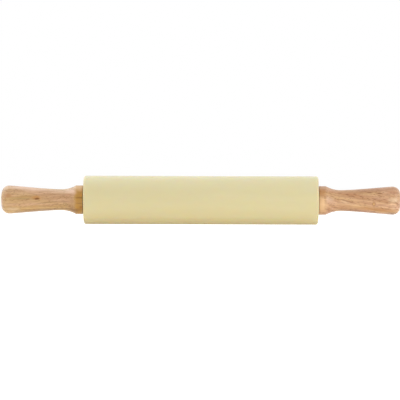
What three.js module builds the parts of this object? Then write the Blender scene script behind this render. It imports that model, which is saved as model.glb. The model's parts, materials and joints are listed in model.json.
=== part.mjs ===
// A pastry rolling pin: a silicone covered barrel that turns freely on a steel axle, between two
// turned wooden handles that are locked on the axle's ends.
// Millimetres. +X runs along the axle towards the right handle, and +Z is up. The origin is the point of
// the table under the middle of the barrel.

import * as THREE from "three";

// Barrel
const barrelLength = 252;
const barrelDiameter = 52;
const sleeveWall = 5;
const rimRadius = 2.5;
const lipThickness = 3;
const lipReliefDepth = 0.4;
const lipReliefMargin = 1;
const coreChamfer = 1;

// Axle and its bearings
const axleDiameter = 8;
const axleChamfer = 1;
const axleTip = 2;
const coreBoreClearance = 1;
const bushLength = 22;
const bushWall = 3;
const bushLeadIn = 1;
const bushMouth = 0.5;
const flangeDiameter = 26;
const flangeEdge = 0.4;
const thrustWasherDiameter = 24;
const thrustWasherThickness = 0.5;

// Fastening inside each handle
const nutWall = 2.5;
const nutThickness = 4;
const nutChamfer = 0.5;
const nutSetback = 0.5;
const insertLength = 16;
const insertWall = 2;
const insertBarbDepth = 0.5;
const insertBarbPitch = 4;
const drillPointAngle = 118;

// Handle
const handleLength = 88.2;
const collarDiameter = 31;
const collarLength = 6.7;
const collarInnerEdge = 0.4;
const collarOuterEdge = 3;
const waistDiameter = 22.6;
const waistPosition = 23.4;
const waistEase = 15;
const gripDiameter = 30.4;
const gripEase = 5;
const endCorner = 8;
const endCrown = 38;

// Clearances: between pieces that don't move on each other, round a turning shaft, and along the axle
const seatGap = 0.2;
const runningGap = 0.15;
const faceGap = 0.15;

// Profile points nearer than this are one point
const samePoint = 1e-6;

// Facets round each turned piece
const barrelFacets = 56;
const handleFacets = 40;
const fittingFacets = 32;

const silicone = { color: 0xdcd0a0, roughness: 0.55, metalness: 0 };
const hardwood = { color: 0xc9a27a, roughness: 0.5, metalness: 0 };
const coreWood = { color: 0xd3b48c, roughness: 0.7, metalness: 0 };
const steel = { color: 0xb9bcc0, roughness: 0.3, metalness: 1 };
const brass = { color: 0xc8a24a, roughness: 0.35, metalness: 1 };
const nylon = { color: 0xe9e6dc, roughness: 0.5, metalness: 0 };

// Shared sizes that follow from the driving ones
const barrelEnd = barrelLength / 2;
const coreEnd = barrelEnd - lipThickness - seatGap;
const axleRadius = axleDiameter / 2;
const fastenerBore = axleRadius + seatGap;
const bushRadius = axleRadius + runningGap + bushWall;
const collarFace = thrustWasherThickness + 2 * faceGap;
const nutFlats = axleDiameter + 2 * nutWall;
const nutCorners = nutFlats / Math.cos(Math.PI / 6);
const nutPocketDepth = nutSetback + nutThickness + seatGap;
const insertRadius = fastenerBore + insertWall;
const insertEnd = nutPocketDepth + insertLength;
const axleEnd = barrelEnd + collarFace + insertEnd + axleTip;

// A polygon's flats lie inside its corners, so a hole or roller whose flats must keep a radius is
// drawn wider.
function flatsAt(radius, facets) {
  return radius / Math.cos(Math.PI / facets);
}

// A profile point: its distance from the axle, and its place along it
function at(radius, along) {
  return new THREE.Vector2(radius, along);
}

// Points along a round stretch of a profile. Angles are in degrees, from straight out towards +X.
function arc(centre, radius, from, to, steps) {
  const start = THREE.MathUtils.degToRad(from);
  const end = THREE.MathUtils.degToRad(to);
  const clockwise = to < from;
  const curve = new THREE.EllipseCurve(centre.x, centre.y, radius, radius, start, end, clockwise);
  return curve.getPoints(steps);
}

// Stretches of a profile joined end to end, each meeting point kept once
function joined(...stretches) {
  const points = stretches.flat();
  return points.filter((point, i) => i === 0 || point.distanceTo(points[i - 1]) > samePoint);
}

// The whole profile of a ring that is alike at both ends, from its half towards +X
function bothEnds(half) {
  const otherHalf = half.map((point) => at(point.x, -point.y)).reverse();
  return [...half, ...otherHalf, half[0]];
}

// A piece turned about the axle, with a flat of its polygon facing straight down
function turned(name, profile, facets, finish) {
  const geometry = new THREE.LatheGeometry(profile, facets, Math.PI / facets);
  geometry.rotateZ(-Math.PI / 2);
  return named(name, geometry, finish);
}

function named(name, geometry, finish) {
  const mesh = new THREE.Mesh(geometry, new THREE.MeshStandardMaterial(finish));
  mesh.name = name;
  return mesh;
}

// The moulded cover: a tube with rounded rims, whose ends turn in over the core. Round each handle's
// collar the lip is set back a little, so that the soft face doesn't rub on the wood.
function siliconeSleeve() {
  const outside = flatsAt(barrelDiameter / 2, barrelFacets);
  const inside = barrelDiameter / 2 - sleeveWall;
  const lipHole = flangeDiameter / 2 + seatGap;
  const reliefRadius = Math.max(collarDiameter / 2, lipHole) + lipReliefMargin;
  const half = joined(
    arc(at(outside - rimRadius, barrelEnd - rimRadius), rimRadius, 0, 90, 4),
    at(reliefRadius, barrelEnd),
    at(reliefRadius - lipReliefDepth, barrelEnd - lipReliefDepth),
    at(lipHole, barrelEnd - lipReliefDepth),
    at(lipHole, barrelEnd - lipThickness),
    at(inside, barrelEnd - lipThickness),
  );
  return turned("silicone_sleeve", bothEnds(half), barrelFacets, silicone);
}

// The wooden roller inside the sleeve, bored through for the axle and counterbored for the bushes
function barrelCore() {
  const outside = barrelDiameter / 2 - sleeveWall - seatGap;
  const bushSeat = bushRadius + seatGap;
  const bushFloor = barrelEnd - lipThickness - bushLength - seatGap;
  const bore = axleRadius + coreBoreClearance;
  const half = [
    at(outside, coreEnd - coreChamfer),
    at(outside - coreChamfer, coreEnd),
    at(bushSeat, coreEnd),
    at(bushSeat, bushFloor),
    at(bore, bushFloor),
  ];
  return turned("barrel_core", bothEnds(half), barrelFacets, coreWood);
}

function axleRod() {
  const profile = [
    at(0, -axleEnd),
    at(axleRadius - axleChamfer, -axleEnd),
    at(axleRadius, axleChamfer - axleEnd),
    at(axleRadius, axleEnd - axleChamfer),
    at(axleRadius - axleChamfer, axleEnd),
    at(0, axleEnd),
  ];
  return turned("axle_rod", profile, fittingFacets, steel);
}

// The pieces of one end are drawn from the barrel's end face, 0 along the axle, outwards.

// A nylon bush pressed into the core, with a flange that ends flush with the barrel's end face
function bearingBush(side) {
  const innerEnd = -lipThickness - bushLength;
  const bore = flatsAt(axleRadius + runningGap, fittingFacets);
  const flange = flangeDiameter / 2;
  const profile = [
    at(bore, innerEnd),
    at(bushRadius - bushLeadIn, innerEnd),
    at(bushRadius, innerEnd + bushLeadIn),
    at(bushRadius, -lipThickness),
    at(flange, -lipThickness),
    at(flange, -flangeEdge),
    at(flange - flangeEdge, 0),
    at(bore + bushMouth, 0),
    at(bore, -bushMouth),
    at(bore, innerEnd),
  ];
  return turned(`bearing_bush_${side}`, profile, fittingFacets, nylon);
}

function thrustWasher(side) {
  const hole = fastenerBore;
  const rim = thrustWasherDiameter / 2;
  const outerFace = faceGap + thrustWasherThickness;
  const profile = [
    at(hole, faceGap),
    at(rim, faceGap),
    at(rim, outerFace),
    at(hole, outerFace),
    at(hole, faceGap),
  ];
  return turned(`thrust_washer_${side}`, profile, fittingFacets, nylon);
}

// A thin hexagon nut, chamfered on both faces
function lockNut(side) {
  const hexagon = new THREE.Shape();
  const drawnRadius = nutCorners / 2 - nutChamfer / Math.cos(Math.PI / 6);
  for (let corner = 0; corner < 6; corner++) {
    const angle = (corner * Math.PI) / 3;
    const point = at(drawnRadius * Math.cos(angle), drawnRadius * Math.sin(angle));
    if (corner === 0) hexagon.moveTo(point.x, point.y);
    else hexagon.lineTo(point.x, point.y);
  }
  hexagon.closePath();
  const hole = new THREE.Path();
  hole.absarc(0, 0, flatsAt(fastenerBore + nutChamfer, fittingFacets), 0, 2 * Math.PI, true);
  hexagon.holes.push(hole);
  const geometry = new THREE.ExtrudeGeometry(hexagon, {
    depth: nutThickness - 2 * nutChamfer,
    curveSegments: fittingFacets / 2,
    bevelEnabled: true,
    bevelThickness: nutChamfer,
    bevelSize: nutChamfer,
    bevelSegments: 1,
  });
  geometry.translate(0, 0, collarFace + nutSetback + nutChamfer);
  geometry.rotateY(Math.PI / 2);
  return named(`lock_nut_${side}`, geometry, steel);
}

// A brass insert with ring barbs that grip the wood, threaded for the axle
function threadedInsert(side) {
  const mouth = collarFace + nutPocketDepth;
  const end = collarFace + insertEnd;
  const root = insertRadius - insertBarbDepth;
  const barbs = [];
  const count = Math.max(1, Math.floor(insertLength / insertBarbPitch) - 1);
  for (let barb = 1; barb <= count; barb++) {
    const crest = mouth + (barb * insertLength) / (count + 1);
    barbs.push(at(root, crest - insertBarbDepth));
    barbs.push(at(insertRadius, crest));
    barbs.push(at(root, crest + insertBarbDepth));
  }
  const profile = [
    at(fastenerBore, mouth),
    at(root, mouth),
    ...barbs,
    at(root, end),
    at(fastenerBore, end),
    at(fastenerBore, mouth),
  ];
  return turned(`threaded_insert_${side}`, profile, fittingFacets, brass);
}

// The turned handle: a straight collar, a cove down to the waist, a swelling grip and a crowned end.
// Its inner face is counterbored for the nut, the insert and the axle's tip.
function handle(side) {
  const collar = collarDiameter / 2;
  const waist = waistDiameter / 2;
  const grip = gripDiameter / 2;

  const pilot = fastenerBore + seatGap;
  const pilotEnd = insertEnd + axleTip + seatGap;
  const drillPoint = pilot / Math.tan(THREE.MathUtils.degToRad(drillPointAngle / 2));
  const insertSeat = insertRadius + seatGap;
  const nutPocket = flatsAt(nutCorners / 2 + seatGap, handleFacets);
  const hole = [
    at(0, pilotEnd + drillPoint),
    at(pilot, pilotEnd),
    at(pilot, insertEnd + seatGap),
    at(insertSeat, insertEnd + seatGap),
    at(insertSeat, nutPocketDepth),
    at(nutPocket, nutPocketDepth),
    at(nutPocket, 0),
  ];

  // The collar's rounded edge and the cove are two arcs that touch, so the cove's radius follows from
  // the drop between the collar and the waist.
  const coveRun = waistPosition - collarLength;
  const coveDrop = collar - waist;
  const bothRadii = (coveRun ** 2 + coveDrop ** 2) / (2 * coveDrop);
  const coveRadius = bothRadii - collarOuterEdge;
  const coveAngle = THREE.MathUtils.radToDeg(Math.asin(coveRun / bothRadii));
  const cove = joined(
    arc(at(collar - collarOuterEdge, collarLength), collarOuterEdge, 0, coveAngle, 3),
    arc(at(waist + coveRadius, waistPosition), coveRadius, 180 + coveAngle, 180, 6),
  );

  // The end's crown is a wide arc about the axle, and the corner is an arc that touches the crown and
  // the grip.
  const crownCentre = handleLength - endCrown;
  const cornerCentre = at(grip - endCorner, 0);
  cornerCentre.y = crownCentre + Math.sqrt((endCrown - endCorner) ** 2 - cornerCentre.x ** 2);
  const crownAngle = THREE.MathUtils.radToDeg(Math.atan2(cornerCentre.y - crownCentre, cornerCentre.x));
  const swell = new THREE.CubicBezierCurve(
    at(waist, waistPosition),
    at(waist, waistPosition + waistEase),
    at(grip, cornerCentre.y - gripEase),
    at(grip, cornerCentre.y),
  );

  const profile = joined(
    hole,
    arc(at(collar - collarInnerEdge, collarInnerEdge), collarInnerEdge, -90, 0, 2),
    cove,
    swell.getPoints(8),
    arc(cornerCentre, endCorner, 0, crownAngle, 6),
    arc(at(0, crownCentre), endCrown, crownAngle, 90, 3),
  );
  const mesh = turned(`handle_${side}`, profile, handleFacets, hardwood);
  mesh.position.x = collarFace;
  return mesh;
}

// Everything at one end of the barrel. The left end is the same set of pieces, turned round.
function pinEnd(side) {
  const end = new THREE.Group();
  end.add(bearingBush(side), thrustWasher(side), lockNut(side), threadedInsert(side), handle(side));
  end.position.x = side === "left" ? -barrelEnd : barrelEnd;
  end.rotation.z = side === "left" ? Math.PI : 0;
  return end;
}

const rollingPin = new THREE.Group();
rollingPin.add(siliconeSleeve(), barrelCore(), axleRod(), pinEnd("left"), pinEnd("right"));
rollingPin.position.z = barrelDiameter / 2;

const part = new THREE.Group();
part.add(rollingPin);

export default part;
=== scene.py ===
# %% [markdown]
# # A silicone rolling pin with turned wooden handles
# The pin is a soft silicone barrel that rolls on a steel axle between two wooden handles. The CAD model
# gives the size and place of every piece, so this lesson starts by loading it. It then makes a finer
# surface for each piece, and a finish for each material.

import json
import math
from collections import namedtuple

import bmesh
import bpy
from mathutils import Matrix, Vector
from mathutils.geometry import interpolate_bezier


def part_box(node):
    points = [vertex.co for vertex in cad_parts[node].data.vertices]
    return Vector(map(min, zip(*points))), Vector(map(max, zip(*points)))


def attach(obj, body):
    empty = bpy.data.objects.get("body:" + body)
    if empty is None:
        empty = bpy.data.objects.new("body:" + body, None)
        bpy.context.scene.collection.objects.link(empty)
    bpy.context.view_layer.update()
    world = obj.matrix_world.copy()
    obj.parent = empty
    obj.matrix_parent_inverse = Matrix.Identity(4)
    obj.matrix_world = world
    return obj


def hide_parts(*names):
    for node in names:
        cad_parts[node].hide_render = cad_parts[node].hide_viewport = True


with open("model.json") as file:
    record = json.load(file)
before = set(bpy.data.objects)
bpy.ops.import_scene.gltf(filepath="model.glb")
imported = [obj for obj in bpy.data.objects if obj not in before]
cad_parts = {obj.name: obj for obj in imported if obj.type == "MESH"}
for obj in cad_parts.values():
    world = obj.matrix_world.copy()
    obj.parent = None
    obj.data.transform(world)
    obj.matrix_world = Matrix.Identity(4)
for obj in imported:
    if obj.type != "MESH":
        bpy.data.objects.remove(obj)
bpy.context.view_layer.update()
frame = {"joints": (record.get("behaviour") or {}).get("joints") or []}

MM = 0.001
axle_height = frame["joints"][0]["pos_m"][2]
barrel_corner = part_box("silicone_sleeve")[1]
barrel_end = barrel_corner.x
barrel_radius = barrel_corner.z - axle_height
print("axle is", round(axle_height / MM, 2), "mm above the table")

# %% [markdown]
# ## The camera
# The photograph looks square at the pin, almost level with the table, from far enough away that the
# barrel's rims hardly bulge. A wide lens close by would show the rims as ovals, so a long lens stands
# three metres away. The pin nearly fills the frame's width, so the lens follows from the width that one
# pixel covers at the axle.

# %% Camera
PHOTO_WIDTH_PX = 400
PIN_MIDDLE_PX = (200.95, 200.15)
MM_PER_PX = 1.0757
VIEW_DISTANCE = 3.0
SENSOR_MM = 36.0
CAMERA_ROLL = math.radians(-0.17)

frame_centre_px = PHOTO_WIDTH_PX / 2
frame_width = PHOTO_WIDTH_PX * MM_PER_PX * MM
camera_x = (frame_centre_px - PIN_MIDDLE_PX[0]) * MM_PER_PX * MM
camera_z = axle_height + (PIN_MIDDLE_PX[1] - frame_centre_px) * MM_PER_PX * MM

lens = bpy.data.cameras.new("square_view")
lens.sensor_width = SENSOR_MM
lens.lens = SENSOR_MM * VIEW_DISTANCE / frame_width
camera = bpy.data.objects.new("square_view", lens)
camera.matrix_world = (
    Matrix.Translation((camera_x, -VIEW_DISTANCE, camera_z))
    @ Matrix.Rotation(CAMERA_ROLL, 4, "Y")
    @ Matrix.Rotation(math.pi / 2, 4, "X")
)
bpy.context.scene.collection.objects.link(camera)
bpy.context.scene.camera = camera
bpy.context.scene.view_settings.view_transform = "Standard"
print("lens", round(lens.lens, 1), "mm at", VIEW_DISTANCE, "m")

# %% [markdown]
# ## Two small helpers for materials
# Colours are easiest to read as the hex values of a paint program, which are in sRGB, while shaders
# work in linear light, so one function converts them. Node trees could be wired link by link, but they
# are easier to follow when each node is one call that says its kind, its settings and what goes into
# its sockets.

# %% Colour and node helpers
def colour(hex_text):
    """An sRGB hex value such as "dcd0a0" as linear red, green, blue and a full alpha."""
    levels = [int(hex_text[i:i + 2], 16) / 255 for i in (0, 2, 4)]
    # The sRGB curve is straight near black, and a power of the level above that.
    linear = [v / 12.92 if v <= 0.04045 else ((v + 0.055) / 1.055) ** 2.4 for v in levels]
    return (*linear, 1.0)


def add_node(tree, kind, settings=None, inputs=None):
    """Adds a shader node. An input that is another node's output is linked, and any other is set."""
    node = tree.nodes.new("ShaderNode" + kind)
    for name, value in (settings or {}).items():
        setattr(node, name, value)
    for name, value in (inputs or {}).items():
        if isinstance(value, bpy.types.NodeSocket):
            tree.links.new(value, node.inputs[name])
        else:
            node.inputs[name].default_value = value
    return node


# A Mix node has several sockets with the same names, so those for colours are called by number.
COLOUR_MIX = {"data_type": "RGBA"}
MIX_FACTOR = 0
MIX_A = 6
MIX_B = 7
MIX_RESULT = 2
print("a middle grey of 808080 is", round(colour("808080")[0], 3), "in linear light")

# %% [markdown]
# ## The light tent
# The pin lies in a white light tent, so light comes to it from all round: cool and stronger from above,
# and plainer from the sides. Lamps alone would leave dark gaps between them, so the world itself is the
# tent, and its strength grows with height. To the camera, and in reflections, it is plain white.

# %% Light tent
TENT_SIDE_STRENGTH = 0.57
TENT_TOP_STRENGTH = 1.24
TENT_SIDE_COLOUR = colour("fffaf2")
TENT_TOP_COLOUR = colour("eef6ff")
WHITE = colour("ffffff")


def seen_directly(tree):
    """1 for rays from the camera and for reflections and refractions, and 0 for light on a surface."""
    path = add_node(tree, "LightPath").outputs
    sharp = add_node(tree, "Math", {"operation": "MAXIMUM"}, {
        0: path["Is Glossy Ray"], 1: path["Is Transmission Ray"]})
    seen = add_node(tree, "Math", {"operation": "MAXIMUM"}, {
        0: path["Is Camera Ray"], 1: sharp.outputs[0]})
    return seen.outputs[0]


world = bpy.data.worlds.new("light_tent")
bpy.context.scene.world = world
world.use_nodes = True
tree = world.node_tree
tree.nodes.clear()
direction = add_node(tree, "TexCoord").outputs["Generated"]
height = add_node(tree, "SeparateXYZ", inputs={0: direction}).outputs["Z"]
strength = add_node(tree, "MapRange", inputs={
    "Value": height, "To Min": TENT_SIDE_STRENGTH, "To Max": TENT_TOP_STRENGTH})
tint = add_node(tree, "Mix", COLOUR_MIX, {
    MIX_FACTOR: height, MIX_A: TENT_SIDE_COLOUR, MIX_B: TENT_TOP_COLOUR})
tent_light = add_node(tree, "Background", inputs={
    "Strength": strength.outputs["Result"], "Color": tint.outputs[MIX_RESULT]})
tent_look = add_node(tree, "Background", inputs={"Strength": 1.0, "Color": WHITE})
both = add_node(tree, "MixShader", inputs={
    0: seen_directly(tree), 1: tent_light.outputs[0], 2: tent_look.outputs[0]})
add_node(tree, "OutputWorld", inputs={"Surface": both.outputs[0]})
print("tent gives", TENT_SIDE_STRENGTH, "at the sides and", TENT_TOP_STRENGTH, "from above")

# %% [markdown]
# ## Brighter panels
# A tent is never quite even, because the lamps outside it make bright patches on its walls. They could
# be painted into the world, but an area lamp is easier to place and to turn down. Four soft ones stand
# here. The largest is above and behind on the left and lights the top of the barrel, and the one on
# the right makes the barrel a little brighter towards that end.

# %% Bright panels of the tent
def soft_panel(name, place, size, power, tint):
    """A square area lamp that faces the pin, with its place and size in metres and its power in watts."""
    data = bpy.data.lights.new(name, "AREA")
    data.size = size
    data.energy = power
    data.color = tint[:3]
    panel = bpy.data.objects.new(name, data)
    aim = Vector((0, 0, axle_height)) - Vector(place)
    panel.matrix_world = Matrix.Translation(place) @ aim.to_track_quat("-Z", "Y").to_matrix().to_4x4()
    bpy.context.scene.collection.objects.link(panel)
    print(name, power, "W at", place)


soft_panel("upper_left_panel", place=(-0.9, 0.7, 1.3), size=1.6, power=13.0, tint=TENT_TOP_COLOUR)
soft_panel("left_panel", place=(-1.2, -0.15, 0.35), size=0.7, power=0.5, tint=TENT_SIDE_COLOUR)
soft_panel("right_panel", place=(1.0, -0.7, 0.15), size=0.7, power=5.5, tint=TENT_TOP_COLOUR)
soft_panel("front_panel", place=(0.4, -1.6, 0.12), size=1.0, power=0.6, tint=TENT_SIDE_COLOUR)

# %% [markdown]
# ## The paper table
# The pin lies on white paper that is lit through, which throws warm light up under the barrel. A plain
# white plane would look grey to the camera, so the paper is a matt sheet that also glows: warmly and
# faintly for the pin, and white and stronger for the camera. It still takes the pin's shadow.

# %% Lit paper
PAPER_TONES = ("eeeeec", "f2f2f0")
PAPER_CLOUD = 40 * MM
PAPER_GLOW = 0.31
PAPER_GLOW_COLOUR = colour("fff4e2")
PAPER_LOOK_GLOW = 0.50


def empty_material(name):
    """A new material, and its node tree with nothing in it."""
    material = bpy.data.materials.new(name)
    material.use_nodes = True
    material.node_tree.nodes.clear()
    return material, material.node_tree


paper, tree = empty_material("lit_studio_paper")
place = add_node(tree, "TexCoord").outputs["Object"]
cloud = add_node(tree, "TexNoise", inputs={"Vector": place, "Scale": 1 / PAPER_CLOUD, "Detail": 3.0})
tone = add_node(tree, "Mix", COLOUR_MIX, {
    MIX_FACTOR: cloud.outputs["Fac"], MIX_A: colour(PAPER_TONES[0]), MIX_B: colour(PAPER_TONES[1])})
sheet = add_node(tree, "BsdfDiffuse", inputs={"Color": tone.outputs[MIX_RESULT]})
seen = seen_directly(tree)
glow_tint = add_node(tree, "Mix", COLOUR_MIX, {
    MIX_FACTOR: seen, MIX_A: PAPER_GLOW_COLOUR, MIX_B: WHITE})
glow_strength = add_node(tree, "MapRange", inputs={
    "Value": seen, "To Min": PAPER_GLOW, "To Max": PAPER_LOOK_GLOW})
glow = add_node(tree, "Emission", inputs={
    "Color": glow_tint.outputs[MIX_RESULT], "Strength": glow_strength.outputs["Result"]})
lit = add_node(tree, "AddShader", inputs={0: sheet.outputs[0], 1: glow.outputs[0]})
add_node(tree, "OutputMaterial", inputs={"Surface": lit.outputs[0]})
print(paper.name, "glows at", PAPER_GLOW, "for the pin and at", PAPER_LOOK_GLOW, "for the camera")

# %% Paper table
FLOOR_HALF_SIZE = 4.0

bm = bmesh.new()
bmesh.ops.create_grid(bm, x_segments=1, y_segments=1, size=FLOOR_HALF_SIZE)
floor_mesh = bpy.data.meshes.new("paper_table")
bm.to_mesh(floor_mesh)
bm.free()
floor = bpy.data.objects.new("paper_table", floor_mesh)
floor_mesh.materials.append(paper)
bpy.context.scene.collection.objects.link(floor)
print("paper table is", 2 * FLOOR_HALF_SIZE, "m wide")

# %% [markdown]
# ## Lathe work
# Nearly every piece of the pin is turned or moulded round the axle, so one way of modelling serves
# them all: draw half of the section as a chain of points beside the axle, then spin it all the way
# round. A single point that is spun about another centre draws an arc, so the same operator also
# makes the round stretches of the section. Sharp corners are rounded afterwards with a bevel.

# %% Half sections
def beside_axle(along, radius):
    """The place of a section's point, in the upright plane through the axle."""
    return Vector((along, 0.0, axle_height + radius))


class Section:
    """Half of a turned piece's section. A point is a distance along the axle and one out from it."""

    def __init__(self, *points):
        """Starts at the first point and goes straight through the others."""
        self.bm = bmesh.new()
        self.start = self.bm.verts.new(beside_axle(*points[0]))
        self.tip = self.start
        for along, radius in points[1:]:
            self.line(along, radius)

    def line(self, along, radius):
        """Goes straight to a point."""
        made = bmesh.ops.extrude_vert_indiv(self.bm, verts=[self.tip])
        self.tip = made["verts"][0]
        self.tip.co = beside_axle(along, radius)

    def arc(self, along, radius, angle, steps):
        """Goes round a centre by an angle in radians, clockwise from the front where it is positive."""
        made = bmesh.ops.spin(self.bm, geom=[self.tip], cent=beside_axle(along, radius),
                              axis=(0, 1, 0), angle=angle, steps=steps)
        self.tip = [part for part in made["geom_last"] if isinstance(part, bmesh.types.BMVert)][0]

    def close(self):
        """Goes straight back to the first point."""
        self.bm.edges.new((self.tip, self.start))


def both_ends(half):
    """The points of a whole section that is alike at both ends, from its half towards +X."""
    return half + [(-along, radius) for along, radius in reversed(half)]


# %% Spin and bevel
MERGE_DISTANCE = 0.002 * MM
RING_TOLERANCE = 0.01 * MM


def spin_round(bm, steps):
    """Spins a section all the way round the axle and closes its seam and poles."""
    bmesh.ops.spin(bm, geom=bm.verts[:] + bm.edges[:], cent=(0, 0, axle_height), axis=(1, 0, 0),
                   angle=2 * math.pi, steps=steps, use_merge=True)
    bmesh.ops.remove_doubles(bm, verts=bm.verts[:], dist=MERGE_DISTANCE)
    bmesh.ops.recalc_face_normals(bm, faces=bm.faces[:])


def turned_ring(points, steps):
    """A ring, spun from the points of its closed section."""
    section = Section(*points)
    section.close()
    spin_round(section.bm, steps)
    return section.bm


def soften(bm, along, radius, width, segments):
    """Rounds the edge that runs round the axle at one point of the section."""
    def on_ring(vert):
        off_axle = math.hypot(vert.co.y, vert.co.z - axle_height)
        return abs(vert.co.x - along) < RING_TOLERANCE and abs(off_axle - radius) < RING_TOLERANCE

    ring = [edge for edge in bm.edges if all(on_ring(vert) for vert in edge.verts)]
    bmesh.ops.bevel(bm, geom=ring, offset=width, offset_type="OFFSET",
                    affect="EDGES", segments=segments, profile=0.5, material=-1)


# %% Left, right and finished pieces
SIDES = {"left": -1, "right": 1}
SMOOTH_UP_TO = math.radians(35)


def turn_to(bm, side, verts=None):
    """Turns a piece, or some of its vertices, that was drawn for the right end round to its own end."""
    if SIDES[side] < 0:
        half_turn = Matrix.Rotation(math.pi, 3, "Z")
        bmesh.ops.rotate(bm, verts=verts or bm.verts[:], cent=(0, 0, 0), matrix=half_turn)


def finish_piece(bm, name, node, body):
    """Makes the mesh an object that stands for a CAD node and moves with its body."""
    bmesh.ops.recalc_face_normals(bm, faces=bm.faces[:])
    mesh = bpy.data.meshes.new(name)
    bm.to_mesh(mesh)
    bm.free()
    mesh.shade_smooth()
    mesh.set_sharp_from_angle(angle=SMOOTH_UP_TO)
    piece = bpy.data.objects.new(name, mesh)
    bpy.context.scene.collection.objects.link(piece)
    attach(piece, body)
    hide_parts(node)
    size = [round(length / MM, 2) for length in piece.dimensions]
    print(name, "has", len(mesh.polygons), "faces and is", size, "mm")
    return piece


# %% [markdown]
# ## The silicone sleeve
# The sleeve is moulded in one piece: a tube whose ends turn in over the wooden core as thin lips, with
# rims rounded by the mould. A scaled cylinder would show neither. A sharp section of a few points,
# spun and then bevelled at each corner, gives the true wall, the lips and the soft rims.

# %% Silicone sleeve
SLEEVE_WALL = 5.0 * MM
RIM_RADIUS = 2.5 * MM
RIM_SEGMENTS = 8
LIP_THICKNESS = 3.0 * MM
LIP_RELIEF_DEPTH = 0.4 * MM
LIP_RELIEF_RADIUS = 16.5 * MM
LIP_HOLE_RADIUS = 13.2 * MM
LIP_EDGE = 0.25 * MM
SMALL_EDGE_SEGMENTS = 2
BARREL_STEPS = 192

inside = barrel_radius - SLEEVE_WALL
lip_back = barrel_end - LIP_THICKNESS
relief_face = barrel_end - LIP_RELIEF_DEPTH
half_section = [
    (barrel_end, barrel_radius),
    (barrel_end, LIP_RELIEF_RADIUS),
    (relief_face, LIP_RELIEF_RADIUS - LIP_RELIEF_DEPTH),
    (relief_face, LIP_HOLE_RADIUS),
    (lip_back, LIP_HOLE_RADIUS),
    (lip_back, inside),
]
bm = turned_ring(both_ends(half_section), BARREL_STEPS)
for end in SIDES.values():
    soften(bm, end * barrel_end, barrel_radius, RIM_RADIUS, RIM_SEGMENTS)
    soften(bm, end * barrel_end, LIP_RELIEF_RADIUS, LIP_EDGE, SMALL_EDGE_SEGMENTS)
    soften(bm, end * relief_face, LIP_HOLE_RADIUS, LIP_EDGE, SMALL_EDGE_SEGMENTS)
sleeve = finish_piece(bm, "moulded_sleeve", "silicone_sleeve", "barrel")

# %% [markdown]
# ## The turned handles
# Each handle is cut on a lathe from one square of hardwood: a straight collar, a cove down to the
# waist, a long swell for the palm and a crowned end. On a lathe these are arcs that run into each
# other without a corner, so the section is drawn from arcs that touch and one easy curve, and not from
# measured points. The hole for the axle's fittings is in the same section.

# %% Sizes of a handle
COLLAR_RADIUS = 15.5 * MM
COLLAR_LENGTH = 6.7 * MM
COLLAR_INNER_EDGE = 0.4 * MM
COLLAR_OUTER_EDGE = 3.0 * MM
WAIST_RADIUS = 11.3 * MM
WAIST_PLACE = 23.4 * MM
WAIST_EASE = 15.0 * MM
GRIP_RADIUS = 15.2 * MM
GRIP_EASE = 5.0 * MM
END_CORNER = 8.0 * MM
END_CROWN = 38.0 * MM
NUT_POCKET_RADIUS = 8.0 * MM
NUT_POCKET_DEPTH = 4.7 * MM
INSERT_SEAT_RADIUS = 6.4 * MM
INSERT_SEAT_DEPTH = 20.9 * MM
PILOT_RADIUS = 4.4 * MM
PILOT_DEPTH = 22.9 * MM
DRILL_POINT = 2.6 * MM

# Each round stretch of the section has as many steps as its bend needs to look smooth.
COLLAR_EDGE_STEPS = 4
SHOULDER_STEPS = 8
COVE_STEPS = 14
SWELL_POINTS = 32
CORNER_STEPS = 14
CROWN_STEPS = 5
HANDLE_STEPS = 128

inner_face, outer_end = (corner.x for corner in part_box("handle_right"))
handle_length = outer_end - inner_face
print("handle is", round(handle_length / MM, 2), "mm long")

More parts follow.
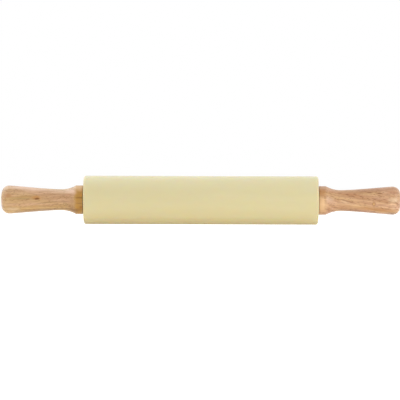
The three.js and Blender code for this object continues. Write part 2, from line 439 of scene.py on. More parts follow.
# %% Turned handles
def turned_handle(side):
    """One handle. Its section starts at the bottom of the hole, and is measured from the inner face."""
    section = Section(
        (PILOT_DEPTH + DRILL_POINT, 0.0),
        (PILOT_DEPTH, PILOT_RADIUS),
        (INSERT_SEAT_DEPTH, PILOT_RADIUS),
        (INSERT_SEAT_DEPTH, INSERT_SEAT_RADIUS),
        (NUT_POCKET_DEPTH, INSERT_SEAT_RADIUS),
        (NUT_POCKET_DEPTH, NUT_POCKET_RADIUS),
        (0.0, NUT_POCKET_RADIUS),
        (0.0, COLLAR_RADIUS - COLLAR_INNER_EDGE),
    )
    section.arc(COLLAR_INNER_EDGE, COLLAR_RADIUS - COLLAR_INNER_EDGE, math.pi / 2, COLLAR_EDGE_STEPS)
    section.line(COLLAR_LENGTH, COLLAR_RADIUS)

    # The shoulder and the cove are arcs that touch, so the cove's radius follows from its run and drop.
    cove_run = WAIST_PLACE - COLLAR_LENGTH
    cove_drop = COLLAR_RADIUS - WAIST_RADIUS
    both_radii = (cove_run ** 2 + cove_drop ** 2) / (2 * cove_drop)
    cove_radius = both_radii - COLLAR_OUTER_EDGE
    cove_angle = math.asin(cove_run / both_radii)
    section.arc(COLLAR_LENGTH, COLLAR_RADIUS - COLLAR_OUTER_EDGE, cove_angle, SHOULDER_STEPS)
    section.arc(WAIST_PLACE, WAIST_RADIUS + cove_radius, -cove_angle, COVE_STEPS)

    # The corner is an arc that touches the grip and the crown, whose own centre is on the axle.
    crown_centre = handle_length - END_CROWN
    corner_out = GRIP_RADIUS - END_CORNER
    corner_rise = math.sqrt((END_CROWN - END_CORNER) ** 2 - corner_out ** 2)
    corner_place = crown_centre + corner_rise
    crown_angle = math.atan2(corner_out, corner_rise)
    swell = interpolate_bezier(
        (WAIST_PLACE, WAIST_RADIUS), (WAIST_PLACE + WAIST_EASE, WAIST_RADIUS),
        (corner_place - GRIP_EASE, GRIP_RADIUS), (corner_place, GRIP_RADIUS), SWELL_POINTS)
    for point in swell[1:]:
        section.line(point.x, point.y)
    section.arc(corner_place, corner_out, math.pi / 2 - crown_angle, CORNER_STEPS)
    section.arc(crown_centre, 0.0, crown_angle, CROWN_STEPS)

    bmesh.ops.translate(section.bm, verts=section.bm.verts[:], vec=(inner_face, 0, 0))
    spin_round(section.bm, HANDLE_STEPS)
    turn_to(section.bm, side)
    return finish_piece(section.bm, f"turned_handle_{side}", f"handle_{side}", "handles")


handles = {side: turned_handle(side) for side in SIDES}

# %% [markdown]
# ## The barrel's core
# Under the silicone is a turned wooden roller, bored through for the axle, with a wider seat for a bush
# in each end. Drilling it with booleans would do, but its bore and seats are turned as well, so they are
# simply part of the section that is spun.

# %% Barrel core
CORE_RADIUS = 20.8 * MM
CORE_CHAMFER = 1.0 * MM
CORE_BORE = 5.0 * MM
BUSH_SEAT_RADIUS = 7.35 * MM
BUSH_SEAT_DEPTH = 22.0 * MM

core_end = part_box("barrel_core")[1].x
seat_floor = core_end - BUSH_SEAT_DEPTH
half_section = [
    (core_end - CORE_CHAMFER, CORE_RADIUS),
    (core_end, CORE_RADIUS - CORE_CHAMFER),
    (core_end, BUSH_SEAT_RADIUS),
    (seat_floor, BUSH_SEAT_RADIUS),
    (seat_floor, CORE_BORE),
]
bm = turned_ring(both_ends(half_section), BARREL_STEPS)
core = finish_piece(bm, "turned_core", "barrel_core", "barrel")

# %% [markdown]
# ## Bushes and washers
# A flanged nylon bush sits in each end of the core and runs on the axle, and a thin washer keeps its
# flange off the handle. Plain tubes would do while the pin is whole, because hardly any of this shows.
# But it comes apart on a bench, so each piece is spun with its real edges: a lead-in and a mouth on the
# bush, and a punched rim on the washer.

# %% Bushes
FITTING_STEPS = 72
BUSH_RADIUS = 7.15 * MM
BUSH_BORE = 4.17 * MM
BUSH_LEAD_IN = 1.0 * MM
BUSH_MOUTH = 0.5 * MM
FLANGE_RADIUS = 13.0 * MM
FLANGE_THICKNESS = 3.0 * MM
FLANGE_EDGE = 0.4 * MM
FLANGE_EDGE_SEGMENTS = 3


def moulded_bush(side):
    """A flanged bush, pressed into the core from its end."""
    inner, outer = (corner.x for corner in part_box("bearing_bush_right"))
    flange_back = outer - FLANGE_THICKNESS
    bm = turned_ring([
        (inner, BUSH_BORE),
        (inner, BUSH_RADIUS - BUSH_LEAD_IN),
        (inner + BUSH_LEAD_IN, BUSH_RADIUS),
        (flange_back, BUSH_RADIUS),
        (flange_back, FLANGE_RADIUS),
        (outer, FLANGE_RADIUS),
        (outer, BUSH_BORE + BUSH_MOUTH),
        (outer - BUSH_MOUTH, BUSH_BORE),
    ], FITTING_STEPS)
    soften(bm, outer, FLANGE_RADIUS, FLANGE_EDGE, FLANGE_EDGE_SEGMENTS)
    turn_to(bm, side)
    return finish_piece(bm, f"moulded_bush_{side}", f"bearing_bush_{side}", "barrel")


bushes = [moulded_bush(side) for side in SIDES]

# %% Washers
WASHER_HOLE = 4.2 * MM
WASHER_RADIUS = 12.0 * MM
WASHER_EDGE = 0.15 * MM


def punched_washer(side):
    """A thin washer with the slightly rounded rim of the punch."""
    inner, outer = (corner.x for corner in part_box("thrust_washer_right"))
    bm = turned_ring([
        (inner, WASHER_HOLE), (inner, WASHER_RADIUS), (outer, WASHER_RADIUS), (outer, WASHER_HOLE),
    ], FITTING_STEPS)
    for face in (outer, inner):
        soften(bm, face, WASHER_RADIUS, WASHER_EDGE, SMALL_EDGE_SEGMENTS)
    turn_to(bm, side)
    return finish_piece(bm, f"punched_washer_{side}", f"thrust_washer_{side}", "handles")


washers = [punched_washer(side) for side in SIDES]

# %% [markdown]
# ## The axle
# The axle is a drawn steel rod with a thread rolled on each end. A row of rings would pass for a thread
# from afar, but the real one is a single ridge that winds along the rod. So the ridge's section is spun
# many times round, and moves on by one pitch each turn.

# %% Axle rod
AXLE_RADIUS = 4.0 * MM
AXLE_CHAMFER = 1.0 * MM
THREAD_PITCH = 1.25 * MM
THREAD_DEPTH = 0.65 * MM
THREAD_TURNS = 16

axle_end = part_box("axle_rod")[1].x
thread_root = AXLE_RADIUS - THREAD_DEPTH
thread_start = axle_end - AXLE_CHAMFER - (THREAD_TURNS + 1) * THREAD_PITCH
half_section = [
    (axle_end, 0.0),
    (axle_end, thread_root - AXLE_CHAMFER),
    (axle_end - AXLE_CHAMFER, thread_root),
    (thread_start, thread_root),
    (thread_start - THREAD_DEPTH, AXLE_RADIUS),
]
rod = Section(*both_ends(half_section))
spin_round(rod.bm, FITTING_STEPS)
print("thread starts", round((axle_end - thread_start) / MM, 2), "mm from the axle's end")

# %% Rolled threads
THREAD_STEPS = 24
THREAD_OVERLAP = 0.05 * MM
RIDGE_FOOT = 0.45 * THREAD_PITCH
RIDGE_CREST = 0.08 * THREAD_PITCH


def roll_thread(bm, side):
    """Winds a ridge along one end of the rod. The section's own face closes each end of it."""
    before = set(bm.verts)
    middle = thread_start + THREAD_PITCH / 2
    foot = thread_root - THREAD_OVERLAP
    corners = [
        (middle - RIDGE_FOOT, foot),
        (middle - RIDGE_CREST, AXLE_RADIUS),
        (middle + RIDGE_CREST, AXLE_RADIUS),
        (middle + RIDGE_FOOT, foot),
    ]
    first = bm.faces.new([bm.verts.new(beside_axle(along, radius)) for along, radius in corners])
    bmesh.ops.spin(bm, geom=first.verts[:] + first.edges[:] + [first], cent=(0, 0, axle_height),
                   axis=(1, 0, 0), dvec=(THREAD_PITCH / THREAD_STEPS, 0, 0),
                   angle=2 * math.pi * THREAD_TURNS, steps=THREAD_TURNS * THREAD_STEPS)
    turn_to(bm, side, [vert for vert in bm.verts if vert not in before])


for side in SIDES:
    roll_thread(rod.bm, side)
axle = finish_piece(rod.bm, "drawn_axle", "axle_rod", "handles")

# %% [markdown]
# ## Lock nuts
# A thin nut locks each handle on the axle. A prism of six sides would have sharp corners, while a real
# nut is turned from bar with coned faces before it gets its flats. Cutting a turned ring with six planes
# leaves the same curved edges.

# %% Nuts
FASTENER_BORE = 4.2 * MM
NUT_FLATS = 13.0 * MM
NUT_FACE_RADIUS = 6.1 * MM
NUT_CONE_ANGLE = math.radians(30)
NUT_COUNTERSINK = 0.5 * MM
HEXAGON = 6


def hexagon_nut(side):
    """A thin nut: a ring with coned faces that is cut by six flats."""
    inner, outer = (corner.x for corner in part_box("lock_nut_right"))
    corner_radius = NUT_FLATS / 2 / math.cos(math.pi / HEXAGON)
    cone = (corner_radius - NUT_FACE_RADIUS) * math.tan(NUT_CONE_ANGLE)
    bm = turned_ring([
        (inner + NUT_COUNTERSINK, FASTENER_BORE),
        (inner, FASTENER_BORE + NUT_COUNTERSINK),
        (inner, NUT_FACE_RADIUS),
        (inner + cone, corner_radius),
        (outer - cone, corner_radius),
        (outer, NUT_FACE_RADIUS),
        (outer, FASTENER_BORE + NUT_COUNTERSINK),
        (outer - NUT_COUNTERSINK, FASTENER_BORE),
    ], FITTING_STEPS)
    # The flats start half a step round, so that a corner points up.
    for flat in range(HEXAGON):
        angle = (flat + 0.5) * 2 * math.pi / HEXAGON
        outwards = Vector((0, math.sin(angle), math.cos(angle)))
        cut = bmesh.ops.bisect_plane(
            bm, geom=bm.verts[:] + bm.edges[:] + bm.faces[:], clear_outer=True,
            plane_co=beside_axle(0, 0) + outwards * NUT_FLATS / 2, plane_no=outwards)
        outline = [part for part in cut["geom_cut"] if isinstance(part, bmesh.types.BMEdge)]
        bmesh.ops.contextual_create(bm, geom=outline)
    bmesh.ops.dissolve_degenerate(bm, edges=bm.edges[:], dist=MERGE_DISTANCE)
    turn_to(bm, side)
    return finish_piece(bm, f"hexagon_nut_{side}", f"lock_nut_{side}", "handles")


nuts = [hexagon_nut(side) for side in SIDES]

# %% [markdown]
# ## Threaded inserts
# A brass insert in each handle takes the axle's thread, because a thread cut in wood would soon wear out.
# Ring barbs hold it in the wood. They are turned, so they are zigzags in a section that is spun.

# %% Inserts
INSERT_RADIUS = 6.2 * MM
BARB_DEPTH = 0.5 * MM
BARBS = 3


def barbed_insert(side):
    """A turned sleeve with ring barbs that hold it in the wood."""
    mouth, end = (corner.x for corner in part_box("threaded_insert_right"))
    root = INSERT_RADIUS - BARB_DEPTH
    points = [(mouth, FASTENER_BORE), (mouth, root)]
    for barb in range(1, BARBS + 1):
        crest = mouth + barb * (end - mouth) / (BARBS + 1)
        points += [(crest - BARB_DEPTH, root), (crest, INSERT_RADIUS), (crest + BARB_DEPTH, root)]
    points += [(end, root), (end, FASTENER_BORE)]
    bm = turned_ring(points, FITTING_STEPS)
    turn_to(bm, side)
    return finish_piece(bm, f"barbed_insert_{side}", f"threaded_insert_{side}", "handles")


inserts = [barbed_insert(side) for side in SIDES]

# %% [markdown]
# ## Moulded silicone
# The barrel is cream platinum silicone, moulded in a fine satin tool. A painted cream would look hard.
# Silicone is soft to the eye: light goes a few millimetres in and comes out again warmer, which makes
# the thin rims glow, and the skin scatters a pale bloom at grazing angles instead of a sharp reflection.
# So the shader has subsurface light and sheen, and one fine noise gives the skin its gloss and relief.

# %% Patterns and surfaces
# Noise stays mostly between these two levels.
NOISE_LOW = 0.3
NOISE_HIGH = 0.7


def stretched_noise(tree, place, along, across, detail, offset=(0, 0, 0)):
    """Noise with features of these lengths along the axle and across it, in the place's own unit."""
    shape = add_node(tree, "Mapping", inputs={
        "Vector": place, "Scale": (1 / along, 1 / across, 1 / across), "Location": offset})
    noise = add_node(tree, "TexNoise", inputs={
        "Vector": shape.outputs[0], "Scale": 1.0, "Detail": detail})
    return noise.outputs["Fac"]


def worked_skin(tree, pattern, roughness, strength, depth):
    """Shader inputs by which one pattern varies the gloss of a surface and its fine relief."""
    gloss = add_node(tree, "MapRange", inputs={
        "Value": pattern, "From Min": NOISE_LOW, "From Max": NOISE_HIGH,
        "To Min": roughness[0], "To Max": roughness[1]})
    relief = add_node(tree, "Bump", inputs={"Height": pattern, "Strength": strength, "Distance": depth})
    return {"Roughness": gloss.outputs["Result"], "Normal": relief.outputs["Normal"]}


def finish_surface(material, pieces, inputs):
    """Ends a material with a principled shader that has these inputs, and puts it on pieces."""
    tree = material.node_tree
    shader = add_node(tree, "BsdfPrincipled", inputs=inputs)
    add_node(tree, "OutputMaterial", inputs={"Surface": shader.outputs[0]})
    for piece in pieces:
        piece.data.materials.append(material)
    print(material.name, "has", len(tree.nodes), "nodes and is on", [piece.name for piece in pieces])


# %% Moulded silicone
SILICONE_TONES = ("d4c89e", "d0c498")
# Faint streaks run along the barrel. The grain of its skin is drawn three times coarser than the real
# one, so that it shows.
STREAK_LENGTH = 110 * MM
STREAK_WIDTH = 7 * MM
SKIN_GRAIN = 0.9 * MM

silicone, tree = empty_material("moulded_satin_silicone")
place = add_node(tree, "TexCoord").outputs["Object"]
streaks = stretched_noise(tree, place, STREAK_LENGTH, STREAK_WIDTH, detail=3.0)
tone = add_node(tree, "Mix", COLOUR_MIX, {
    MIX_FACTOR: streaks, MIX_A: colour(SILICONE_TONES[0]), MIX_B: colour(SILICONE_TONES[1])})
skin = add_node(tree, "TexNoise", inputs={"Vector": place, "Scale": 1 / SKIN_GRAIN, "Detail": 2.0})
finish_surface(silicone, [sleeve], {
    "Base Color": tone.outputs[MIX_RESULT],
    **worked_skin(tree, skin.outputs["Fac"], roughness=(0.48, 0.60), strength=0.12, depth=0.05 * MM),
    "IOR": 1.41,
    "Subsurface Weight": 0.6,
    "Subsurface Radius": (1.0, 0.55, 0.2),
    "Subsurface Scale": 5.0 * MM,
    "Sheen Weight": 0.42,
    "Sheen Roughness": 0.35,
})

# %% [markdown]
# ## Turned rubberwood
# The handles are rubberwood, a pale hardwood that many kitchen tools are turned from, sanded and given
# one thin satin coat. Growth layers show as long fine lines, with short dark pores and pink and straw
# coloured zones between them. The lines bend round the cove and open into rings on the crowned end,
# because the tree grew in three dimensions. A picture wrapped round the handle would miss that. So the
# pattern is a solid one, stretched along the grain and cut by the handle's surface.

# %% Growth layers
# Each pattern has its lengths along and across the grain in millimetres, the detail of its noise, and an
# offset that keeps it from lining up with the others. Real pores and fibres are thinner than a pixel of
# the render, so both are drawn several times coarser.
Pattern = namedtuple("Pattern", "along across detail offset")
ZONES = Pattern(along=60.0, across=9.0, detail=2.0, offset=7.7)
WANDER = Pattern(along=34.0, across=8.0, detail=2.0, offset=3.1)
FIBRES = Pattern(along=20.0, across=1.8, detail=3.0, offset=1.3)
PORES = Pattern(along=3.6, across=1.0, detail=1.0, offset=5.9)
WANDER_REACH = 1.6


def grain_noise(tree, grain, pattern, seed):
    """One of the wood's patterns, at a place of its own for each piece of wood."""
    offset = (seed + pattern.offset, 2 * seed + pattern.offset, pattern.offset)
    return stretched_noise(tree, grain, pattern.along, pattern.across, pattern.detail, offset)


def layer_depth(tree, grain, heart, seed):
    """How far from the tree's heart the wood grew, in millimetres, with a slow wander."""
    across = add_node(tree, "VectorMath", {"operation": "MULTIPLY"}, {0: grain, 1: (0, 1, 1)})
    from_heart = add_node(tree, "VectorMath", {"operation": "DISTANCE"}, {0: across.outputs[0], 1: heart})
    wander = add_node(tree, "MapRange", inputs={
        "Value": grain_noise(tree, grain, WANDER, seed), "To Min": -WANDER_REACH, "To Max": WANDER_REACH})
    depth = add_node(tree, "Math", {"operation": "ADD"}, {
        0: from_heart.outputs["Value"], 1: wander.outputs["Result"]})
    return depth.outputs[0]


def growth_layers(tree, depth, spacing):
    """Growth layers of uneven width, about this far apart in millimetres."""
    count = add_node(tree, "Math", {"operation": "DIVIDE"}, {0: depth, 1: spacing})
    noise = add_node(tree, "TexNoise", {"noise_dimensions": "1D"}, {
        "W": count.outputs[0], "Scale": 1.0, "Detail": 2.0})
    return noise.outputs["Fac"]


# %% Clear wood
Tones = namedtuple("Tones", "straw pink late pore pore_share")
LAYER_SPACING = 4.2
FINE_LAYER_SPACING = 2.2
LAYER_SHARE = 0.8
FIBRE_SHARE = 1.0
PORE_CROWDING = 0.4
# Levels of the noise between which one tone turns into the next
ZONE_EDGES = (0.38, 0.62)
LATE_EDGES = (0.58, 0.38)
PORE_EDGES = (0.38, 0.45)


def clear_wood(tree, grain, heart, tones, grain_share, seed):
    """The colour of wood without marks, its fibres and its pores."""
    zones = add_node(tree, "MapRange", inputs={
        "Value": grain_noise(tree, grain, ZONES, seed),
        "From Min": ZONE_EDGES[0], "From Max": ZONE_EDGES[1]})
    wood = add_node(tree, "Mix", COLOUR_MIX, {
        MIX_FACTOR: zones.outputs["Result"], MIX_A: colour(tones.straw), MIX_B: colour(tones.pink)})

    # Late wood is the dark side of each growth layer, and single fibres take the same tone.
    depth = layer_depth(tree, grain, heart, seed)
    layers = growth_layers(tree, depth, LAYER_SPACING)
    fine_layers = growth_layers(tree, depth, FINE_LAYER_SPACING)
    fibres = grain_noise(tree, grain, FIBRES, seed)
    for pattern, share in ((layers, LAYER_SHARE), (fine_layers, LAYER_SHARE), (fibres, FIBRE_SHARE)):
        late = add_node(tree, "MapRange", inputs={
            "Value": pattern, "From Min": LATE_EDGES[0], "From Max": LATE_EDGES[1],
            "To Max": share * grain_share})
        wood = add_node(tree, "Mix", COLOUR_MIX, {
            MIX_FACTOR: late.outputs["Result"], MIX_A: wood.outputs[MIX_RESULT],
            MIX_B: colour(tones.late)})

    # Pores crowd in the darker layers.
    crowded = add_node(tree, "Math", {"operation": "MULTIPLY_ADD"}, {
        0: layers, 1: -PORE_CROWDING, 2: grain_noise(tree, grain, PORES, seed)})
    pores = add_node(tree, "MapRange", inputs={
        "Value": crowded.outputs[0], "From Min": PORE_EDGES[0], "From Max": PORE_EDGES[1]})
    pore_cover = add_node(tree, "MapRange", inputs={
        "Value": pores.outputs["Result"], "To Max": tones.pore_share})
    wood = add_node(tree, "Mix", COLOUR_MIX, {
        MIX_FACTOR: pore_cover.outputs["Result"], MIX_A: wood.outputs[MIX_RESULT],
        MIX_B: colour(tones.pore)})
    return wood.outputs[MIX_RESULT], fibres, pores.outputs["Result"]


# %% [markdown]
# ## Marks in the wood
# Every piece of wood has knots, eyes, lines and patches of its own, and random noise never puts them in
# the right places. So each is placed one by one, as an egg shaped zone inside the wood that the handle's
# surface cuts, and it looks right from every side. A ripple keeps its outline from looking drawn.
# Some marks are painted light and shade: highlights, light reflected from the silicone, and shade.

# %% Marks in the wood
# A mark's egg lies this far out and up from the middle of the handle's inner face. Lengths are in
# millimetres and the slope is in degrees. The share says how much of the wood's own colour it covers. The
# egg's middle is near the front of the handle, so a deeper one goes further round.
ON_THE_FRONT = 22.0
TO_THE_EDGE = 40.0
OVER_THE_TOP = 60.0
TO_THE_BACK = 90.0
Mark = namedtuple("Mark", "out up length width slope tint share depth", defaults=(ON_THE_FRONT,))
MARK_FRONT = 13.0 * MM
MARK_CORE = 0.25
RIPPLE_LENGTH = 4.0 * MM
RIPPLE_REACH = Vector((2.0, 0.0, 1.2)) * MM


def lay_marks(tree, wood, place, marks, end):
    """The wood's colour with marks and painted light laid over it, at the pin's end towards +X or -X."""
    ripple = add_node(tree, "TexNoise", inputs={
        "Vector": place, "Scale": 1 / RIPPLE_LENGTH, "Detail": 2.0})
    shift = add_node(tree, "VectorMath", {"operation": "MULTIPLY_ADD"}, {
        0: ripple.outputs["Color"], 1: RIPPLE_REACH, 2: -RIPPLE_REACH / 2})
    rippled = add_node(tree, "VectorMath", {"operation": "ADD"}, {0: place, 1: shift.outputs[0]})
    for mark in marks:
        along = end * (inner_face + mark.out * MM)
        egg = add_node(tree, "Mapping", {"vector_type": "TEXTURE"}, {
            "Vector": rippled.outputs[0],
            "Location": (along, -MARK_FRONT, axle_height + mark.up * MM),
            "Rotation": (0, -math.radians(mark.slope), 0),
            "Scale": (mark.length / 2 * MM, mark.depth / 2 * MM, mark.width / 2 * MM)})
        away = add_node(tree, "VectorMath", {"operation": "LENGTH"}, {0: egg.outputs[0]})
        cover = add_node(tree, "MapRange", {"interpolation_type": "SMOOTHSTEP"}, {
            "Value": away.outputs["Value"], "From Min": 1.0, "From Max": MARK_CORE, "To Max": mark.share})
        marked = add_node(tree, "Mix", COLOUR_MIX, {
            MIX_FACTOR: cover.outputs["Result"], MIX_A: wood, MIX_B: colour(mark.tint)})
        wood = marked.outputs[MIX_RESULT]
    return wood


# %% Turned wood
WOOD_ROUGHNESS = 0.38
PORE_ROUGHNESS = 0.55
FIBRE_RELIEF = 0.06 * MM
LACQUER = 0.15
LACQUER_ROUGHNESS = 0.15


def turned_wood(name, piece, middle, grain_rise, heart, tones, grain_share, seed, marks=(), coat=0.0):
    """Finishes a piece about this place of the axle. The grain's rise is in degrees, the heart in mm."""
    material, tree = empty_material(name)
    place = add_node(tree, "TexCoord").outputs["Object"]
    centred = add_node(tree, "VectorMath", {"operation": "SUBTRACT"}, {
        0: place, 1: (middle, 0, axle_height)})
    grain = add_node(tree, "Mapping", inputs={
        "Vector": centred.outputs[0], "Rotation": (0, math.radians(grain_rise), 0),
        "Scale": (1 / MM, 1 / MM, 1 / MM)})
    wood, fibres, pores = clear_wood(tree, grain.outputs[0], heart, tones, grain_share, seed)
    if marks:
        wood = lay_marks(tree, wood, place, marks, end=math.copysign(1, middle))
    gloss = add_node(tree, "MapRange", inputs={
        "Value": pores, "To Min": WOOD_ROUGHNESS, "To Max": PORE_ROUGHNESS})
    relief = add_node(tree, "Bump", inputs={"Height": fibres, "Strength": 0.2, "Distance": FIBRE_RELIEF})
    finish_surface(material, [piece], {
        "Base Color": wood,
        "Roughness": gloss.outputs["Result"],
        "Normal": relief.outputs["Normal"],
        "IOR": 1.5,
        "Coat Weight": coat,
        "Coat Roughness": LACQUER_ROUGHNESS,
    })


# %% [markdown]
# ## The left handle's wood
# The two handles come from different boards, so one wood for both would look false. The left one is
# straw coloured with a nearly level grain. It has dark lines across the collar, a pink upper side and one
# small dark knot on the swell. Some marks paint light and shade: the collar's ochre is painted light
# reflected from the silicone and painted shade by the barrel, the cove's pale pink is a painted highlight
# with painted shade below it, the top is paler with a painted sheen, and the underside is darker with
# painted shade. Later marks lie over earlier ones.

# %% Left handle's wood
handle_middle = inner_face + handle_length / 2
left_marks_and_painted_light = [
    # The collar: ochre that is painted light reflected from the silicone and painted shade by the barrel,
    # with a pale top and dark lines
    Mark(4.0, 0.0, 14.0, 120.0, 0, "b5832c", 0.95, TO_THE_BACK),
    Mark(3.5, 13.0, 15.0, 11.0, 0, "dcb07e", 0.7, TO_THE_EDGE),
    Mark(3.5, 2.3, 14.0, 3.0, 0, "8a5c14", 0.7),
    Mark(3.5, -3.8, 14.0, 1.8, 0, "8a5c18", 0.6),
    Mark(4.5, -10.5, 14.0, 4.0, 0, "92662c", 0.5, TO_THE_EDGE),
    Mark(1.5, -8.0, 5.0, 4.0, 0, "a8611c", 0.6),
    Mark(1.8, 5.0, 5.0, 5.0, 0, "c8862c", 0.5),
    # A brown cove with a pale pink painted highlight above, where light from the upper left falls, and
    # painted shade below, where it faces down
    Mark(13.0, -3.0, 15.0, 16.0, 0, "b0845c", 0.4),
    Mark(13.5, 9.5, 20.0, 9.0, -18, "e8c0a4", 0.52),
    Mark(16.5, 5.5, 9.0, 4.0, -10, "bd8a66", 0.5),
    Mark(10.8, -11.3, 19.0, 8.5, -17, "855829", 0.62, TO_THE_EDGE),
    # A pale pink upper side: pink wood that a painted sheen from above makes paler along the top
    Mark(58.0, 12.5, 66.0, 8.0, -4, "dcb496", 0.65, OVER_THE_TOP),
    Mark(24.0, 8.0, 34.0, 5.0, 0, "e0bf9c", 0.4),
    # A straw coloured lower side that is paler towards the end, and darker underneath with painted shade
    # where less light comes from below
    Mark(55.0, -8.0, 66.0, 5.0, 3, "d0aa74", 0.5),
    Mark(48.0, -13.2, 96.0, 8.0, 5, "806038", 0.58, OVER_THE_TOP),
    Mark(51.0, -8.0, 16.0, 7.0, 0, "b68954", 0.4),
    Mark(75.0, -10.5, 24.0, 6.0, 0, "d8bc98", 0.5),
    # The knot
    Mark(49.7, 2.3, 15.0, 6.0, 0, "b47a36", 0.8),
    Mark(49.0, 1.0, 8.0, 3.4, 3, "784602", 1.0),
    Mark(41.0, 3.4, 15.0, 4.0, 6, "a87c4c", 0.45),
    # A brown patch near the end
    Mark(79.3, 4.2, 11.0, 6.0, 0, "a8763f", 0.7),
    # Grey and brown lines
    Mark(38.0, -3.0, 44.0, 1.6, 8, "8a6b3a", 0.55),
    Mark(66.0, 1.2, 34.0, 1.6, 0, "8f7848", 0.5),
    Mark(75.0, -4.8, 16.0, 1.5, 0, "a07a5c", 0.5),
    Mark(20.0, -2.2, 14.0, 1.8, 2, "8a6236", 0.5),
    # An eye
    Mark(18.6, -5.0, 6.5, 5.0, 0, "8a6232", 0.75),
    Mark(18.6, -5.0, 4.5, 3.2, 0, "d2ae78", 0.7),
    Mark(18.3, -5.0, 1.8, 1.3, 0, "7c5430", 0.9),
]
turned_wood(
    "turned_rubberwood_left", handles["left"], middle=-handle_middle, grain_rise=1.5, heart=(0, 30, -110),
    tones=Tones(straw="caa66b", pink="cba07b", late="9c6f3a", pore="835a30", pore_share=0.5),
    grain_share=0.36, seed=4.0, marks=left_marks_and_painted_light, coat=LACQUER)

# %% [markdown]
# ## The right handle's wood
# The right handle is pinker, and its grain falls by nine degrees towards the end, so lines leave the
# surface as short dark dashes. It has a peach coloured collar, a brown upper side, a dark band along the
# upper waist, and an oval eye on the swell. Some marks paint light and shade as well: the collar's pale
# peach is partly painted light reflected from the silicone, the cove's pink is partly a painted
# highlight, the top is darker with painted shade, and the under side is painted shade.

# %% Right handle's wood
right_marks_and_painted_light = [
    # A peach coloured collar with an orange upper edge, whose pale peach is partly painted light
    # reflected from the silicone, and a cove whose pink is partly a painted highlight
    Mark(2.0, -5.5, 18.0, 24.0, 0, "eac092", 0.85, TO_THE_EDGE),
    Mark(2.5, 9.0, 13.0, 11.0, -25, "b57a3c", 0.65, TO_THE_EDGE),
    Mark(11.5, -1.0, 14.0, 16.0, 0, "c69a76", 0.45, TO_THE_EDGE),
    # A brown upper side: brown wood, darker over the top with painted shade
    Mark(56.0, 11.0, 74.0, 9.0, 4, "905930", 0.52, OVER_THE_TOP),
    Mark(14.0, 9.5, 12.0, 5.0, 0, "a66a3c", 0.4),
    Mark(78.0, 9.0, 16.0, 4.0, 0, "a8683c", 0.3),
    # The dark band along the upper waist, with its dashes
    Mark(31.0, 7.0, 48.0, 8.0, -9, "a66a3c", 0.55),
    Mark(22.0, 8.0, 8.0, 1.6, -8, "744420", 0.75),
    Mark(30.0, 6.6, 7.0, 1.5, -8, "744420", 0.75),
    Mark(38.0, 7.0, 6.0, 1.5, -6, "7c4a24", 0.75),
    Mark(36.0, 4.6, 6.0, 1.5, -10, "744420", 0.75),
    Mark(45.0, 4.0, 7.0, 1.5, -10, "7c4a24", 0.75),
    # A dark line between two pale streaks
    Mark(27.5, -1.2, 15.0, 5.0, -10, "e4c098", 0.45),
    Mark(30.5, -0.9, 27.0, 1.8, -14, "8d5c30", 0.7),
    Mark(38.0, -5.0, 34.0, 3.6, -13, "e6bd92", 0.3),
    # Dashes and brown streaks on the swell
    Mark(54.0, 8.6, 9.0, 1.6, -3, "7c4a24", 0.8),
    Mark(65.0, 7.6, 7.0, 1.8, -6, "74421c", 0.8),
    Mark(65.0, 5.0, 8.0, 1.6, -8, "845028", 0.75),
    Mark(58.0, 2.0, 7.0, 1.4, -10, "845028", 0.7),
    Mark(70.0, 1.2, 7.0, 1.4, -12, "845028", 0.7),
    Mark(73.0, -2.4, 9.0, 1.5, -12, "8c5a30", 0.6),
    Mark(80.5, 8.2, 8.0, 1.6, -5, "8c5430", 0.6),
    Mark(66.5, -4.2, 10.0, 1.8, -6, "9a6434", 0.45),
    Mark(60.0, -9.6, 58.0, 5.5, -5, "b0763c", 0.55),
    Mark(48.0, -7.6, 24.0, 4.0, -4, "b08050", 0.45),
    # Painted shade along the under side, where less light comes from below
    Mark(50.0, -13.4, 96.0, 7.0, -5, "785840", 0.42, OVER_THE_TOP),
    Mark(78.0, -14.5, 24.0, 7.0, 0, "785840", 0.5, OVER_THE_TOP),
    # An oval eye and a dot
    Mark(58.5, -3.6, 5.5, 8.5, 0, "a06a34", 0.75),
    Mark(58.3, -4.0, 2.6, 3.4, 0, "d8ac6c", 0.7),
    Mark(78.8, -4.6, 2.4, 2.0, 0, "84502c", 0.8),
    # The pale end
    Mark(79.0, 0.5, 16.0, 8.0, 0, "e0bf98", 0.55),
    Mark(78.0, -4.0, 14.0, 3.0, -8, "efc59a", 0.6),
    Mark(70.0, -7.0, 16.0, 2.5, -8, "efc59a", 0.45),
    Mark(79.0, -8.4, 10.0, 3.0, 0, "e8c49c", 0.4),
]
turned_wood(
    "turned_rubberwood_right", handles["right"], middle=handle_middle, grain_rise=-9.0, heart=(0, 25, 90),
    tones=Tones(straw="d0a673", pink="cfa281", late="a26e3f", pore="70431f", pore_share=0.45),
    grain_share=0.38, seed=11.0, marks=right_marks_and_painted_light, coat=LACQUER)

# %% [markdown]
# ## The core's beech
# The core is plain beech, turned and left raw, because the silicone covers it. It is paler and more even
# than the handles and has no coat, so the same function serves, with its own tones and without marks.

# %% Core's wood
turned_wood(
    "turned_raw_beech", core, middle=0.0, grain_rise=0.5, heart=(0, 20, -60),
    tones=Tones(straw="dabd94", pink="d4b38c", late="b99468", pore="a98560", pore_share=0.5),
    grain_share=0.30, seed=7.0)

# %% [markdown]
# ## Steel and brass
# A drawn rod keeps fine lines along its length from the die, a turned insert keeps fine rings from the
# tool, and zinc plating is cloudy. A smooth metal would look like a mirror. The same stretched noise
# serves all three, laid one way or the other. It varies the roughness, which is what the eye sees of
# such marks.

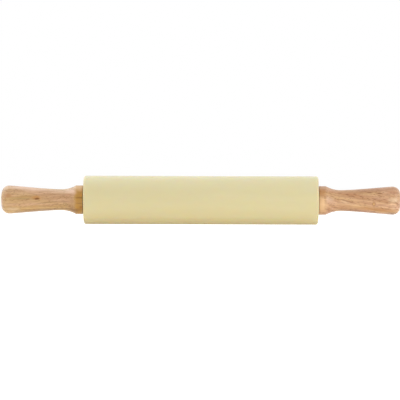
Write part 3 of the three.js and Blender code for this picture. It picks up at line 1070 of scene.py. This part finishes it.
# %% Steel and brass
def worked_metal(name, pieces, tones, marks, roughness):
    """Finishes pieces in bare metal, with marks of these lengths in mm along the axle and across it."""
    material, tree = empty_material(name)
    place = add_node(tree, "TexCoord").outputs["Object"]
    along, across = (length * MM for length in marks)
    lines = stretched_noise(tree, place, along, across, detail=3.0)
    tone = add_node(tree, "Mix", COLOUR_MIX, {
        MIX_FACTOR: lines, MIX_A: colour(tones[0]), MIX_B: colour(tones[1])})
    finish_surface(material, pieces, {
        "Base Color": tone.outputs[MIX_RESULT],
        **worked_skin(tree, lines, roughness, strength=0.15, depth=0.02 * MM),
        "Metallic": 1.0,
    })


# Draw lines and tool rings are a few hundredths of a millimetre apart, and are drawn ten times coarser.
worked_metal(
    "drawn_bright_steel", [axle], tones=("b9bcc0", "aeb2b7"), marks=(40.0, 0.35), roughness=(0.24, 0.38))
worked_metal(
    "zinc_plated_steel", nuts, tones=("c2c4c4", "b2b6ba"), marks=(1.2, 1.2), roughness=(0.30, 0.44))
worked_metal(
    "turned_brass", inserts, tones=("c8a24a", "ba9240"), marks=(0.3, 9.0), roughness=(0.28, 0.42))

# %% [markdown]
# ## Moulded nylon
# The bushes and washers are nylon that is left in its natural colour: milky, a little see-through at thin
# edges, with the dull skin of a spark eroded mould. A plain white plastic would look too hard, so a
# little light goes into it, and a slow cloud varies its tone.

# %% Moulded nylon
NYLON_TONES = ("ebe8de", "e4e0d2")
NYLON_CLOUD = 5.0 * MM
# The pits of such a skin are under a tenth of a millimetre wide, and are drawn several times coarser.
NYLON_SKIN = 0.5 * MM

nylon, tree = empty_material("moulded_natural_nylon")
place = add_node(tree, "TexCoord").outputs["Object"]
cloud = add_node(tree, "TexNoise", inputs={"Vector": place, "Scale": 1 / NYLON_CLOUD, "Detail": 2.0})
tone = add_node(tree, "Mix", COLOUR_MIX, {
    MIX_FACTOR: cloud.outputs["Fac"], MIX_A: colour(NYLON_TONES[0]), MIX_B: colour(NYLON_TONES[1])})
skin = add_node(tree, "TexNoise", inputs={"Vector": place, "Scale": 1 / NYLON_SKIN, "Detail": 2.0})
finish_surface(nylon, bushes + washers, {
    "Base Color": tone.outputs[MIX_RESULT],
    **worked_skin(tree, skin.outputs["Fac"], roughness=(0.42, 0.56), strength=0.15, depth=0.03 * MM),
    "IOR": 1.53,
    "Subsurface Weight": 0.3,
    "Subsurface Radius": (1.0, 0.9, 0.7),
    "Subsurface Scale": 1.0 * MM,
})

# %% [markdown]
# ## Bring the scene up to date
# The finer surfaces must not make the pin any larger than its CAD model, and each piece printed its size
# as it was made.

# %% Sizes
bpy.context.view_layer.update()
